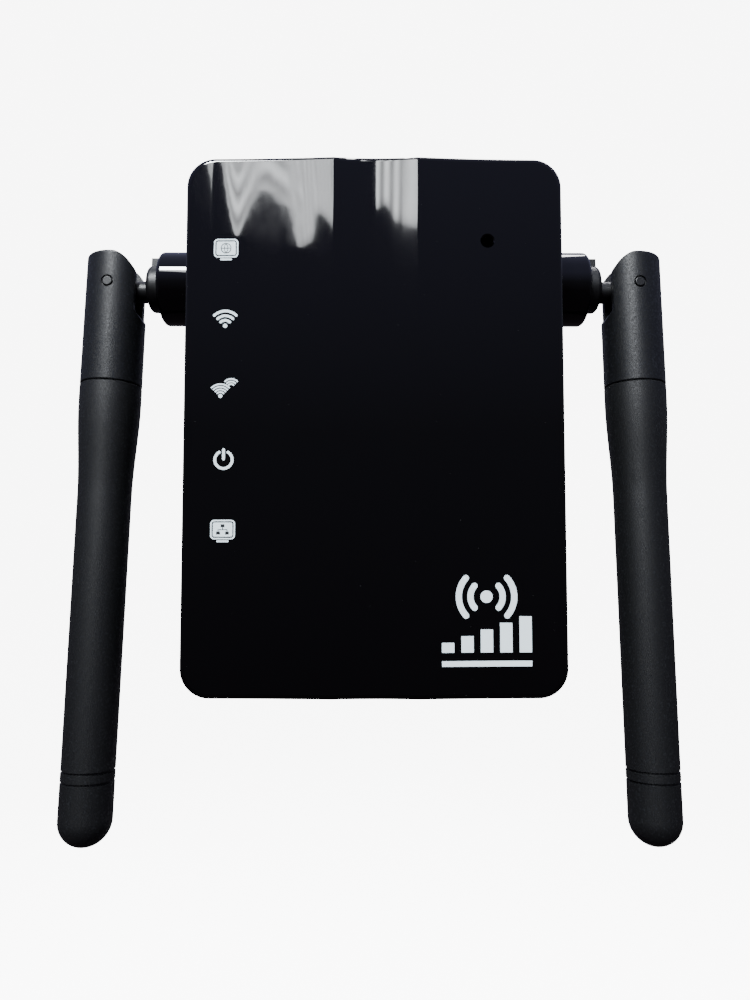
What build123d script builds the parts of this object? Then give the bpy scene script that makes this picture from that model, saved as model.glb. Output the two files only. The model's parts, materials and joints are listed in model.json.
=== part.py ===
from build123d import *
import os
from math import cos, radians, sin

# Wall-plug wifi range extender with two folding antennas, as separate pieces.
# Millimetres, +Z up, the front faces -Y. The origin is the middle of the plug's contact face,
# halfway between the two plug pins, which point to +Y.

os.makedirs("parts", exist_ok=True)

# ---------------------------------------------------------------- driving dimensions

# Case
CASE_W = 60.0
CASE_H = 85.5
CASE_D = 28.0            # from the front rim to the back wall
CORNER_R = 4.6
WALL = 1.8
CREST_H = 0.8            # how far the two creases of the front stand out past its side edges
CREASE_LEFT_X = -6.5
CREASE_RIGHT_X = 6.9
CREASE_R = 1.2
FRONT_EDGE_R = 0.8
BACK_EDGE_R = 2.0
SEAM_DEPTH = 15.4        # depth of the seam between the shells, on the antenna shafts
LIP_H = 1.0              # rear shell's locating lip inside the front shell
LIP_T = 0.8

# Plug
SNOUT_L = 17.0
SNOUT_W = 35.3
SNOUT_H = 13.7
SNOUT_WALL = 2.0
SNOUT_END_T = 2.5
PLUG_ABOVE_CENTRE = 8.0
PIN_PITCH = 19.0
PIN_R = 2.0
PIN_L = 19.0
PIN_SLEEVE_L = 10.0      # insulated length, flush with the bare tip
PIN_SLEEVE_NECK_R = 1.75
PIN_CORE_R = 1.5
PIN_PLATE_Y = -4.0       # pin plate's face that holds the pins' flanges
PIN_PLATE_T = 1.6

# Antennas
HINGE_X = 46.0           # fold pin's distance from the case's middle
SHAFT_ABOVE_CENTRE = 26.5
PIN_DROP = 0.5           # how far the fold pin is below the shaft that its base turns on
SWING = 4.0              # antennas hang this many degrees forward of straight down
SPLAY = {-1: 0.7, 1: 0.0}
ANTENNA_R = 5.2
KNUCKLE_TOP = 5.75       # from the fold pin up
KNUCKLE_FLAT = 4.1       # from the fold pin to the flat on the case side
KNUCKLE_L = 17.4         # from the hinge pin down to the joint with the sleeve
TIP = 94.3               # from the hinge pin down to the tip
TONGUE_R = 2.5
TONGUE_T = 4.0
NECK_R = 1.9
SLOT_T = 4.2
PIN_HINGE_R = 0.875
SHAFT_R = 3.5
BOSS_R = 6.4
BOSS_END_X = 37.5
COLLAR_R = 4.1
COLLAR_END_R = 0.8
COLLAR_X = 39.9
LUG_TOP = 5.5            # stop lug on the collar, from the shaft's axis
LUG_END_X = 39.7

# Clearances
RUN_FIT = 0.05           # radial play of a shaft or pin that turns
GAP = 0.2                # between pieces that slide past each other

# ---------------------------------------------------------------- places worked out from them

FACE_Y = -(CASE_D + SNOUT_L)
BACK_Y = -SNOUT_L
SEAM_Y = FACE_Y + SEAM_DEPTH
CENTRE_Z = -PLUG_ABOVE_CENTRE
TOP_Z = CENTRE_Z + CASE_H / 2
BOTTOM_Z = CENTRE_Z - CASE_H / 2
SHAFT_Z = CENTRE_Z + SHAFT_ABOVE_CENTRE
INSIDE_X = CASE_W / 2 - WALL
INSIDE_FRONT_Y = FACE_Y + WALL
INSIDE_BACK_Y = BACK_Y - WALL
SIDES = {-1: "left", 1: "right"}

# Main board
BOARD_W = 55.0
BOARD_BOTTOM_Z = -47.0
BOARD_TOP_Z = 31.0
BOARD_T = 1.6
BOARD_FRONT_Y = FACE_Y + 8.0
BOARD_BACK_Y = BOARD_FRONT_Y + BOARD_T

# Power supply board
SUPPLY_W = 40.0
SUPPLY_BOTTOM_Z = -14.0
SUPPLY_TOP_Z = 30.0
SUPPLY_FRONT_Y = BACK_Y - 6.0
SUPPLY_BACK_Y = SUPPLY_FRONT_Y + BOARD_T

# Status lights, from the top one down
LIGHT_X = -23.5
LIGHT_TOP_Z = 19.7
LIGHT_PITCH = 11.15
LIGHTS = [LIGHT_TOP_Z - LIGHT_PITCH * i for i in range(5)]

# Reset button behind the front's pinhole
RESET_X = 18.0
RESET_Z = 21.1
PINHOLE_R = 0.95

# Network sockets, in the bottom wall
SOCKET_X = 8.8
SOCKET_W = 16.0
SOCKET_T = 13.3
SOCKET_L = 16.0
SOCKET_Y = BOARD_BACK_Y + SOCKET_T / 2

# Side controls
SIDE_Z = -20.0
SIDE_Y = FACE_Y + 12.2
SLIDER_TRAVEL = 2.0

# Case screws, at the four corners
SCREW_PLACES = [(x, z) for x in (-24, 24) for z in (CENTRE_Z - 37, CENTRE_Z + 37)]
SCREW_R = 1.3
SCREW_HEAD_R = 2.5
FRONT_POST_R = 3.0
REAR_POST_R = 3.7
SCREW_SEAT_Y = BACK_Y - 6.0

# Small screws: main board from behind, supply board from the front, pin plate from the front
MAIN_SCREWS = [(-14, 28.2), (14, 28.2), (-20.5, -36), (20.5, -36)]
SUPPLY_SCREWS = [(-17.5, 26), (17.5, -11)]
SMALL_SCREW_R = 1.0
SMALL_POST_R = 2.3
SMALL_HEAD_R = 1.8
SMALL_HEAD_T = 1.3
SMALL_SCREW_L = 4.0


def upright(y):
    """A plane that faces the front, at depth y: its own x is X and its own y is Z."""
    return Plane.XZ.offset(-y)


def across(x):
    """A plane that faces +X at x: its own x is Y and its own y is Z."""
    return Plane.YZ.offset(x)


def local(place, plane):
    """The given plane, taken in the frame at place instead of the row's own frame."""
    return Plane(place * plane.location)


def save(piece, label):
    piece.part.label = label
    export_step(piece.part, f"parts/{label}.step")


def hinge_place(side, drop=0.0, fold=0.0):
    """The frame at one fold hinge: x outward, z up along the hanging antenna, y along the pin."""
    upward = Vector(0, sin(radians(SWING)), cos(radians(SWING)))
    outward = Vector(side, 0, 0)
    lean = radians(fold)
    return Plane(
        origin=Vector(side * HINGE_X, SEAM_Y, SHAFT_Z) - upward * drop,
        x_dir=outward * cos(lean) + upward * sin(lean),
        z_dir=upward * cos(lean) - outward * sin(lean),
    )


# ---------------------------------------------------------------- case

CORNER_IN_R = CORNER_R - WALL
SNOUT_TAPER = 5.5        # width of the snout's slanted ends
SNOUT_CORNER_R = 1.5
HOLLOW = 0.18            # how far the middle of each outer strip stands out past the side edges
SNOUT_CORNERS = [
    (-SNOUT_W / 2, 0),
    (-SNOUT_W / 2 + SNOUT_TAPER, SNOUT_H / 2),
    (SNOUT_W / 2 - SNOUT_TAPER, SNOUT_H / 2),
    (SNOUT_W / 2, 0),
    (SNOUT_W / 2 - SNOUT_TAPER, -SNOUT_H / 2),
    (-SNOUT_W / 2 + SNOUT_TAPER, -SNOUT_H / 2),
]
FLANGE_X = 31.0          # start of the ring groove that holds each antenna shaft's flange
FLANGE_T = 1.6
FLANGE_R = 4.8

# Both shells' walls in one piece, before they are parted at the seam
with BuildPart() as case:
    # The front is three concave strips that meet in two upright creases
    with BuildSketch(Plane.XY.offset(BOTTOM_Z)):
        with BuildLine():
            rim = FACE_Y
            crest = FACE_Y - CREST_H
            ThreePointArc((-CASE_W / 2, rim), (-17.5, rim - HOLLOW), (CREASE_LEFT_X, crest))
            ThreePointArc((CREASE_LEFT_X, crest), (0.8, rim - 0.38), (CREASE_RIGHT_X, crest))
            ThreePointArc((CREASE_RIGHT_X, crest), (17.5, rim - HOLLOW), (CASE_W / 2, rim))
            Polyline((CASE_W / 2, rim), (CASE_W / 2, BACK_Y), (-CASE_W / 2, BACK_Y), (-CASE_W / 2, rim))
        make_face()
    extrude(amount=CASE_H)
    creases = case.edges().filter_by(Axis.Z).filter_by(lambda e: abs(e.center().X) < 10)
    fillet(creases, CREASE_R)

    # The outline, with rounded corners and a rounded edge all round the front and the back
    with BuildSketch(upright(BACK_Y)):
        with Locations((0, CENTRE_Z)):
            RectangleRounded(CASE_W, CASE_H, CORNER_R)
    extrude(amount=CASE_D + CREST_H, mode=Mode.INTERSECT)
    front_edges = case.edges().filter_by(
        lambda e: e.center().Y < FACE_Y + 0.4
        and (abs(e.center().X) > 20 or abs(e.center().Z - CENTRE_Z) > 40)
    )
    fillet(front_edges, FRONT_EDGE_R)
    back_edges = case.edges().filter_by(lambda e: e.center().Y > BACK_Y - 0.01)
    fillet(back_edges, BACK_EDGE_R)

    # Plug snout
    with BuildSketch(upright(0)) as snout_outline:
        Polygon(*SNOUT_CORNERS)
        fillet(snout_outline.vertices(), SNOUT_CORNER_R)
    extrude(amount=SNOUT_L + 0.5)

    # Shaft bosses, one on each side
    for side in SIDES:
        with BuildSketch(across(side * (INSIDE_X - 0.2))):
            with Locations((SEAM_Y, SHAFT_Z)):
                Circle(BOSS_R)
        extrude(amount=side * (BOSS_END_X - INSIDE_X + 0.2))
    boss_ends = case.edges().filter_by(lambda e: abs(e.center().X) > BOSS_END_X - 0.01)
    fillet(boss_ends, 0.8)

    # Inside
    with BuildSketch(upright(INSIDE_BACK_Y)):
        with Locations((0, CENTRE_Z)):
            RectangleRounded(CASE_W - 2 * WALL, CASE_H - 2 * WALL, CORNER_IN_R)
    extrude(amount=CASE_D - 2 * WALL, mode=Mode.SUBTRACT)
    with BuildSketch(upright(-SNOUT_END_T)) as snout_inside:
        Polygon(*SNOUT_CORNERS)
        fillet(snout_inside.vertices(), SNOUT_CORNER_R)
        offset(amount=-SNOUT_WALL)
    extrude(amount=SNOUT_L, mode=Mode.SUBTRACT)

    # Bearing bores, with a ring groove for each shaft's flange
    for side in SIDES:
        with BuildSketch(across(side * (INSIDE_X - 1))):
            with Locations((SEAM_Y, SHAFT_Z)):
                Circle(SHAFT_R + RUN_FIT)
        extrude(amount=side * (BOSS_END_X - INSIDE_X + 2), mode=Mode.SUBTRACT)
        with BuildSketch(across(side * FLANGE_X)):
            with Locations((SEAM_Y, SHAFT_Z)):
                Circle(FLANGE_R + GAP)
        extrude(amount=side * (FLANGE_T + 2 * GAP), mode=Mode.SUBTRACT)

    # Socket openings in the bottom wall
    with BuildSketch(Plane.XY.offset(BOTTOM_Z - 1)):
        with Locations((-SOCKET_X, SOCKET_Y), (SOCKET_X, SOCKET_Y)):
            Rectangle(SOCKET_W + 0.3, SOCKET_T + 0.3)
    extrude(amount=WALL + 2, mode=Mode.SUBTRACT)

# Locating lip, which stands just inside the wall and crosses the seam
with BuildPart() as lip:
    with BuildSketch(upright(SEAM_Y + LIP_H)):
        with Locations((0, CENTRE_Z)):
            RectangleRounded(CASE_W - 2 * (WALL - LIP_T), CASE_H - 2 * (WALL - LIP_T), CORNER_R - 1)
            RectangleRounded(CASE_W - 2 * WALL, CASE_H - 2 * WALL, CORNER_IN_R, mode=Mode.SUBTRACT)
    extrude(amount=2 * LIP_H)
    with BuildSketch(upright(SEAM_Y + 2 * LIP_H)):
        with Locations((0, SHAFT_Z)):
            Rectangle(CASE_W, 2 * BOSS_R + 1)
        with Locations((0, BOTTOM_Z)):
            Rectangle(2 * (SOCKET_X + SOCKET_W / 2) + 1, 6)
    extrude(amount=4 * LIP_H, mode=Mode.SUBTRACT)

LABEL_W = 36.0
LABEL_H = 20.0
LABEL_Z = CENTRE_Z - 16.0
LABEL_PLAY = 0.4
VENT_Z = CENTRE_Z + 29.0
WPS_W = 3.6              # button cap, across and along the case side
WPS_H = 7.0
KNOB_W = 2.2             # mode slider's knob
KNOB_H = 2.6

with BuildPart() as front_shell:
    add(case.part)
    split(bisect_by=upright(SEAM_Y), keep=Keep.TOP)
    add(lip.part, mode=Mode.SUBTRACT)

    # Screw posts for the case screws
    with BuildSketch(upright(SEAM_Y)):
        with Locations(*SCREW_PLACES):
            Circle(FRONT_POST_R)
    extrude(amount=SEAM_Y - INSIDE_FRONT_Y + 0.1)
    with BuildSketch(upright(SEAM_Y)):
        with Locations(*SCREW_PLACES):
            Circle(SCREW_R)
    extrude(amount=9.0, mode=Mode.SUBTRACT)

    # Bosses that carry the main board
    with BuildSketch(upright(BOARD_FRONT_Y)):
        with Locations(*MAIN_SCREWS):
            Circle(SMALL_POST_R)
    extrude(amount=BOARD_FRONT_Y - INSIDE_FRONT_Y + 0.1)
    with BuildSketch(upright(BOARD_FRONT_Y)):
        with Locations(*MAIN_SCREWS):
            Circle(SMALL_SCREW_R)
    extrude(amount=4.0, mode=Mode.SUBTRACT)

    # Reset pinhole, with a small chamfer at its mouth
    with BuildSketch(upright(INSIDE_FRONT_Y)):
        with Locations((RESET_X, RESET_Z)):
            Circle(PINHOLE_R)
    extrude(amount=WALL + CREST_H, mode=Mode.SUBTRACT)
    mouth = front_shell.edges().filter_by(
        lambda e: e.center().Y < FACE_Y
        and abs(e.center().X - RESET_X) < 1.5 and abs(e.center().Z - RESET_Z) < 1.5
    )
    chamfer(mouth, 0.2)

    # Openings for the side button and the mode slider
    with BuildSketch(across(-CASE_W / 2 - 1)) as button_hole:
        with Locations((SIDE_Y, SIDE_Z)):
            Rectangle(WPS_W + 2 * GAP, WPS_H + 2 * GAP)
        fillet(button_hole.vertices(), 0.8)
    extrude(amount=WALL + 2, mode=Mode.SUBTRACT)
    with BuildSketch(across(INSIDE_X - 1)):
        with Locations((SIDE_Y, SIDE_Z)):
            Rectangle(KNOB_W + 2 * GAP, KNOB_H + 2 * SLIDER_TRAVEL + 2 * GAP)
    extrude(amount=WALL + 2, mode=Mode.SUBTRACT)
save(front_shell, "front_shell")

with BuildPart() as rear_shell:
    add(case.part)
    split(bisect_by=upright(SEAM_Y), keep=Keep.BOTTOM)
    add(lip.part)

    # Screw posts, with deep seats for the screw heads
    with BuildSketch(upright(INSIDE_BACK_Y + 0.1)):
        with Locations(*SCREW_PLACES):
            Circle(REAR_POST_R)
    extrude(amount=INSIDE_BACK_Y + 0.1 - SEAM_Y)
    with BuildSketch(upright(BACK_Y + 1)):
        with Locations(*SCREW_PLACES):
            Circle(SCREW_R + 0.15)
    extrude(amount=BACK_Y + 1 - SEAM_Y, mode=Mode.SUBTRACT)
    with BuildSketch(upright(BACK_Y + 1)):
        with Locations(*SCREW_PLACES):
            Circle(SCREW_HEAD_R + 0.2)
    extrude(amount=BACK_Y + 1 - SCREW_SEAT_Y, mode=Mode.SUBTRACT)

    # Bosses that carry the supply board
    with BuildSketch(upright(INSIDE_BACK_Y + 0.1)):
        with Locations(*SUPPLY_SCREWS):
            Circle(SMALL_POST_R)
    extrude(amount=INSIDE_BACK_Y + 0.1 - SUPPLY_BACK_Y)
    with BuildSketch(upright(INSIDE_BACK_Y + 0.1)):
        with Locations(*SUPPLY_SCREWS):
            Circle(SMALL_SCREW_R)
    extrude(amount=INSIDE_BACK_Y + 0.1 - SUPPLY_BACK_Y, mode=Mode.SUBTRACT)

    # Holes for the plug pins in the snout's end, and a post for the pin plate's screw
    with BuildSketch(upright(-SNOUT_END_T + 0.1)):
        Circle(SMALL_POST_R)
    extrude(amount=-SNOUT_END_T + 0.1 - PIN_PLATE_Y)
    with BuildSketch(upright(-1.2)):
        Circle(SMALL_SCREW_R)
    extrude(amount=3.0, mode=Mode.SUBTRACT)
    with BuildSketch(upright(0.5)):
        with Locations((-PIN_PITCH / 2, 0), (PIN_PITCH / 2, 0)):
            Circle(PIN_SLEEVE_NECK_R)
    extrude(amount=4.0, mode=Mode.SUBTRACT)
    mouths = rear_shell.edges().filter_by(
        lambda e: e.center().Y > -0.01 and abs(e.center().Z) < PIN_R
        and abs(e.center().X) < PIN_PITCH / 2 + PIN_R
    )
    chamfer(mouths, PIN_R + RUN_FIT - PIN_SLEEVE_NECK_R)

    # Vents above the snout and in the top wall, and a shallow recess for the rating label
    with BuildSketch(upright(BACK_Y + 1)):
        with Locations((0, VENT_Z)):
            with GridLocations(13.5, 3.2, 2, 5):
                SlotOverall(11, 1.4)
    extrude(amount=WALL + 2, mode=Mode.SUBTRACT)
    with BuildSketch(Plane.XY.offset(TOP_Z - WALL - 1)):
        with Locations((0, SEAM_Y + 6.4)):
            with GridLocations(4.0, 1, 7, 1):
                SlotOverall(6.0, 1.5, rotation=90)
    extrude(amount=WALL + 2, mode=Mode.SUBTRACT)
    with BuildSketch(upright(BACK_Y + 1)):
        with Locations((0, LABEL_Z)):
            RectangleRounded(LABEL_W + LABEL_PLAY, LABEL_H + LABEL_PLAY, 1.2)
    extrude(amount=1.3, mode=Mode.SUBTRACT)
save(rear_shell, "rear_shell")

with BuildPart() as rating_label:
    with BuildSketch(upright(BACK_Y - 0.3)):
        with Locations((0, LABEL_Z)):
            RectangleRounded(LABEL_W, LABEL_H, 1.0)
    extrude(amount=-0.2)
save(rating_label, "rating_label")

# ---------------------------------------------------------------- fasteners

with BuildPart() as case_screws:
    with BuildSketch(upright(SCREW_SEAT_Y)):
        with Locations(*SCREW_PLACES):
            Circle(SCREW_R)
    extrude(amount=15.0)
    with BuildSketch(upright(SCREW_SEAT_Y + 2.0)):
        with Locations(*SCREW_PLACES):
            Circle(SCREW_HEAD_R)
    extrude(amount=2.0)
    rims = case_screws.edges().filter_by(GeomType.CIRCLE).group_by(Axis.Y)[-1]
    fillet(rims, 0.6)
    with BuildSketch(upright(SCREW_SEAT_Y + 2.0)):
        with Locations(*SCREW_PLACES):
            Rectangle(2.8, 0.6)
            Rectangle(0.6, 2.8)
    extrude(amount=1.1, mode=Mode.SUBTRACT)
save(case_screws, "case_screws")

with BuildPart() as board_screws:
    # (place, seat depth, direction of the shank: 1 toward the front, -1 toward the back)
    seats = [(place, BOARD_BACK_Y, 1) for place in MAIN_SCREWS]
    seats += [(place, SUPPLY_FRONT_Y, -1) for place in SUPPLY_SCREWS]
    seats += [((0, 0), PIN_PLATE_Y - PIN_PLATE_T, -1)]
    for (x, z), seat_y, way in seats:
        with BuildSketch(upright(seat_y)):
            with Locations((x, z)):
                Circle(SMALL_SCREW_R)
        extrude(amount=way * SMALL_SCREW_L)
        with BuildSketch(upright(seat_y)):
            with Locations((x, z)):
                Circle(SMALL_HEAD_R)
                Rectangle(2.0, 0.5, mode=Mode.SUBTRACT)
                Rectangle(0.5, 2.0, mode=Mode.SUBTRACT)
        extrude(amount=-way * SMALL_HEAD_T)
save(board_screws, "board_screws")

# ---------------------------------------------------------------- plug

PIN_FLANGE_R = 3.0
PIN_STUB_R = 1.0
PIN_STUB_Y = -8.5        # inner end of the pins, where the leads start

for side, name in SIDES.items():
    x = side * PIN_PITCH / 2
    with BuildPart() as plug_pin:
        with BuildSketch(Plane.XY):
            with BuildLine():
                Polyline(
                    (x, PIN_STUB_Y), (x + PIN_STUB_R, PIN_STUB_Y),
                    (x + PIN_STUB_R, PIN_PLATE_Y), (x + PIN_FLANGE_R, PIN_PLATE_Y),
                    (x + PIN_FLANGE_R, -SNOUT_END_T), (x + PIN_CORE_R, -SNOUT_END_T),
                    (x + PIN_CORE_R, PIN_SLEEVE_L), (x + PIN_R, PIN_SLEEVE_L),
                    (x + PIN_R, PIN_L), (x, PIN_L),
                    close=True,
                )
            make_face()
        revolve(axis=Axis((x, 0, 0), (0, 1, 0)))
        tip = plug_pin.edges().filter_by(GeomType.CIRCLE).group_by(Axis.Y)[-1]
        fillet(tip, 1.2)
    save(plug_pin, f"plug_pin_{name}")

with BuildPart() as pin_sleeves:
    with BuildSketch(upright(PIN_SLEEVE_L)):
        with Locations((-PIN_PITCH / 2, 0), (PIN_PITCH / 2, 0)):
            Circle(PIN_R)
    extrude(amount=PIN_SLEEVE_L)
    with BuildSketch(upright(0)):
        with Locations((-PIN_PITCH / 2, 0), (PIN_PITCH / 2, 0)):
            Circle(PIN_SLEEVE_NECK_R)
    extrude(amount=SNOUT_END_T)
    with BuildSketch(upright(PIN_SLEEVE_L)):
        with Locations((-PIN_PITCH / 2, 0), (PIN_PITCH / 2, 0)):
            Circle(PIN_CORE_R)
    extrude(amount=PIN_SLEEVE_L + SNOUT_END_T, mode=Mode.SUBTRACT)
save(pin_sleeves, "pin_sleeves")

with BuildPart() as pin_plate:
    with BuildSketch(upright(PIN_PLATE_Y)):
        RectangleRounded(24.0, 7.4, 1.5)
        with Locations((-PIN_PITCH / 2, 0), (PIN_PITCH / 2, 0)):
            Circle(PIN_STUB_R, mode=Mode.SUBTRACT)
        Circle(SMALL_SCREW_R, mode=Mode.SUBTRACT)
    extrude(amount=PIN_PLATE_T)
save(pin_plate, "pin_retainer_plate")

LEAD_R = 0.8
LEAD_DROP = 4.0

with BuildPart() as mains_leads:
    for side in SIDES:
        x = side * PIN_PITCH / 2
        with BuildLine():
            FilletPolyline(
                (x, PIN_STUB_Y, 0), (x, PIN_STUB_Y - 4.0, 0),
                (x, -17.4, -LEAD_DROP), (x, SUPPLY_BACK_Y, -LEAD_DROP),
                radius=3.0,
            )
        with BuildSketch(Plane(origin=(x, PIN_STUB_Y, 0), x_dir=(1, 0, 0), z_dir=(0, -1, 0))):
            Circle(LEAD_R)
        sweep()
save(mains_leads, "mains_leads")

# ---------------------------------------------------------------- main board, front side

with BuildPart() as main_board:
    with BuildSketch(upright(BOARD_BACK_Y)):
        with Locations((0, (BOARD_BOTTOM_Z + BOARD_TOP_Z) / 2)):
            Rectangle(BOARD_W, BOARD_TOP_Z - BOARD_BOTTOM_Z)
        with Locations(*MAIN_SCREWS):
            Circle(SMALL_SCREW_R, mode=Mode.SUBTRACT)
        with Locations(*SCREW_PLACES):
            Rectangle(7.0, 8.0, mode=Mode.SUBTRACT)
    extrude(amount=BOARD_T)
save(main_board, "main_board")


def block_on(y, x, z, width, height, thickness):
    """A block that stands on the plane at depth y, toward the front."""
    with BuildSketch(upright(y)) as outline:
        with Locations((x, z)):
            Rectangle(width, height)
    extrude(outline.sketch, amount=thickness)


def chip(y, x, z, width, height, thickness, legs, pitch):
    """A chip with a row of legs along its left and right edges."""
    with BuildSketch(upright(y - 0.1)) as body:
        with Locations((x, z)):
            Rectangle(width, height)
    extrude(body.sketch, amount=thickness - 0.1)
    with BuildSketch(upright(y)) as feet:
        with Locations((x, z)):
            with GridLocations(width + 1.2, pitch, 2, legs):
                Rectangle(1.6, pitch * 0.4)
    extrude(feet.sketch, amount=0.5)


with BuildPart() as status_leds:
    with BuildSketch(upright(BOARD_FRONT_Y)):
        with Locations(*[(LIGHT_X, z) for z in LIGHTS]):
            Rectangle(1.6, 0.8)
    extrude(amount=0.35)
    with BuildSketch(upright(BOARD_FRONT_Y - 0.35)):
        with Locations(*[(LIGHT_X, z) for z in LIGHTS]):
            Rectangle(1.1, 0.8)
    extrude(amount=0.3)
save(status_leds, "status_leds")

GUIDE_T = 1.0
GUIDE_W = 6.0
BARRIER_W = 7.4
LIGHT_SPAN = LIGHT_PITCH * 4 + 8.0
LIGHT_MID_Z = LIGHT_TOP_Z - LIGHT_PITCH * 2

with BuildPart() as light_guide:
    with BuildSketch(upright(INSIDE_FRONT_Y + GUIDE_T)):
        with Locations((LIGHT_X, LIGHT_MID_Z)):
            RectangleRounded(GUIDE_W, LIGHT_SPAN, 1.0)
    extrude(amount=GUIDE_T)
    with BuildSketch(upright(BOARD_FRONT_Y - 1.4)):
        with Locations(*[(LIGHT_X, z) for z in LIGHTS]):
            Circle(1.5)
    extrude(amount=BOARD_FRONT_Y - 1.4 - INSIDE_FRONT_Y - GUIDE_T)
save(light_guide, "light_guide")

with BuildPart() as light_barrier:
    with BuildSketch(upright(BOARD_FRONT_Y)):
        with Locations((LIGHT_X, LIGHT_MID_Z)):
            RectangleRounded(BARRIER_W, LIGHT_SPAN, 0.8)
        with Locations(*[(LIGHT_X, z) for z in LIGHTS]):
            RectangleRounded(4.4, 4.4, 0.6, mode=Mode.SUBTRACT)
    extrude(amount=BOARD_FRONT_Y - INSIDE_FRONT_Y - GUIDE_T)
save(light_barrier, "light_barrier")

CAN_T = 0.3
RADIO_X = 4.0
RADIO_Z = 2.0
CAN_SIZE = 22.0
CAN_H = 2.6

with BuildPart() as wifi_processor:
    block_on(BOARD_FRONT_Y, RADIO_X, RADIO_Z, 9.0, 9.0, 0.9)
    with BuildSketch(upright(BOARD_FRONT_Y)):
        with Locations((RADIO_X, RADIO_Z)):
            with GridLocations(9.6, 0.8, 2, 10):
                Rectangle(0.6, 0.35)
            with GridLocations(0.8, 9.6, 10, 2):
                Rectangle(0.35, 0.6)
    extrude(amount=0.2)
save(wifi_processor, "wifi_processor")

with BuildPart() as shield_can:
    with BuildSketch(upright(BOARD_FRONT_Y)):
        with Locations((RADIO_X, RADIO_Z)):
            RectangleRounded(CAN_SIZE, CAN_SIZE, 1.0)
    extrude(amount=CAN_H)
    with BuildSketch(upright(BOARD_FRONT_Y)):
        with Locations((RADIO_X, RADIO_Z)):
            RectangleRounded(CAN_SIZE - 2 * CAN_T, CAN_SIZE - 2 * CAN_T, 0.7)
    extrude(amount=CAN_H - CAN_T, mode=Mode.SUBTRACT)
    with BuildSketch(upright(BOARD_FRONT_Y - CAN_H)):
        with Locations((RADIO_X, RADIO_Z)):
            with GridLocations(4.5, 4.5, 4, 4):
                Circle(0.7)
    extrude(amount=-CAN_T, mode=Mode.SUBTRACT)
save(shield_can, "radio_shield_can")

with BuildPart() as memory_chip:
    chip(BOARD_FRONT_Y, -12.5, -8.0, 4.0, 5.0, 1.5, 4, 1.27)
save(memory_chip, "memory_chip")

with BuildPart() as crystal:
    with BuildSketch(upright(BOARD_FRONT_Y)):
        with Locations((-12.5, 4.0)):
            RectangleRounded(3.2, 2.5, 0.4)
    extrude(amount=0.8)
save(crystal, "clock_crystal")

with BuildPart() as network_transformer:
    chip(BOARD_FRONT_Y, 0, -27.0, 12.7, 9.0, 3.2, 8, 1.0)
save(network_transformer, "network_transformer")

with BuildPart() as main_capacitor:
    block_on(BOARD_FRONT_Y, 20.0, -24.0, 6.6, 6.6, 0.8)
    with BuildSketch(upright(BOARD_FRONT_Y - 0.8)):
        with Locations((20.0, -24.0)):
            Circle(3.15)
    extrude(amount=4.6)
    top = main_capacitor.edges().filter_by(GeomType.CIRCLE).group_by(Axis.Y)[0]
    fillet(top, 0.4)
save(main_capacitor, "main_capacitor")

with BuildPart() as power_inductor:
    with BuildSketch(upright(BOARD_FRONT_Y)):
        with Locations((20.0, -13.0)):
            RectangleRounded(6.0, 6.0, 1.2)
    extrude(amount=2.8)
    with BuildSketch(upright(BOARD_FRONT_Y - 2.8)):
        with Locations((20.0, -13.0)):
            Circle(2.4)
            Circle(1.6, mode=Mode.SUBTRACT)
    extrude(amount=-0.6, mode=Mode.SUBTRACT)
save(power_inductor, "power_inductor")

# ---------------------------------------------------------------- controls

RESET_BODY_T = 3.0
RESET_BORE_L = 1.6
RESET_TRAVEL = 0.25
PLUNGER_R = 1.7
PLUNGER_START_Y = BOARD_FRONT_Y - RESET_BODY_T + RESET_BORE_L - RESET_TRAVEL - 0.1
PLUNGER_END_Y = BOARD_FRONT_Y - 4.4

with BuildPart() as reset_switch:
    block_on(BOARD_FRONT_Y, RESET_X, RESET_Z, 6.0, 6.0, RESET_BODY_T)
    with BuildSketch(upright(BOARD_FRONT_Y - RESET_BODY_T)):
        with Locations((RESET_X, RESET_Z)):
            Circle(PLUNGER_R + 0.05)
    extrude(amount=-RESET_BORE_L, mode=Mode.SUBTRACT)
    with BuildSketch(upright(BOARD_FRONT_Y)):
        with Locations((RESET_X, RESET_Z)):
            with GridLocations(7.0, 4.5, 2, 2):
                Rectangle(1.0, 0.7)
    extrude(amount=0.3)
save(reset_switch, "reset_switch_body")

with BuildPart() as reset_plunger:
    with BuildSketch(upright(PLUNGER_START_Y)):
        with Locations((RESET_X, RESET_Z)):
            Circle(PLUNGER_R)
    extrude(amount=PLUNGER_START_Y - PLUNGER_END_Y)
    end = reset_plunger.edges().filter_by(GeomType.CIRCLE).group_by(Axis.Y)[0]
    fillet(end, 0.3)
save(reset_plunger, "reset_plunger")

WPS_STAND_OUT = 0.6
WPS_FLANGE_T = 1.0
WPS_FLANGE_X = -(INSIDE_X - 0.1)
WPS_NUB_X = -26.7

with BuildPart() as wps_button:
    with BuildSketch(across(-CASE_W / 2 - WPS_STAND_OUT)) as cap:
        with Locations((SIDE_Y, SIDE_Z)):
            Rectangle(WPS_W, WPS_H)
        fillet(cap.vertices(), 0.7)
    extrude(amount=CASE_W / 2 + WPS_STAND_OUT + WPS_FLANGE_X + 0.5)
    with BuildSketch(across(WPS_FLANGE_X)):
        with Locations((SIDE_Y, SIDE_Z)):
            Rectangle(4.8, 9.4)
    extrude(amount=WPS_FLANGE_T)
    outer = wps_button.edges().group_by(Axis.X)[0]
    fillet(outer, 0.3)
save(wps_button, "wps_button")

with BuildPart() as wps_switch:
    with BuildSketch(across(-26.2)):
        with Locations((BOARD_BACK_Y + 2.4, SIDE_Z)):
            Rectangle(4.8, 6.0)
    extrude(amount=3.6)
    with BuildSketch(across(WPS_NUB_X)):
        with Locations((SIDE_Y, SIDE_Z)):
            Rectangle(1.6, 2.6)
    extrude(amount=0.6)
save(wps_switch, "wps_switch_body")

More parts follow.
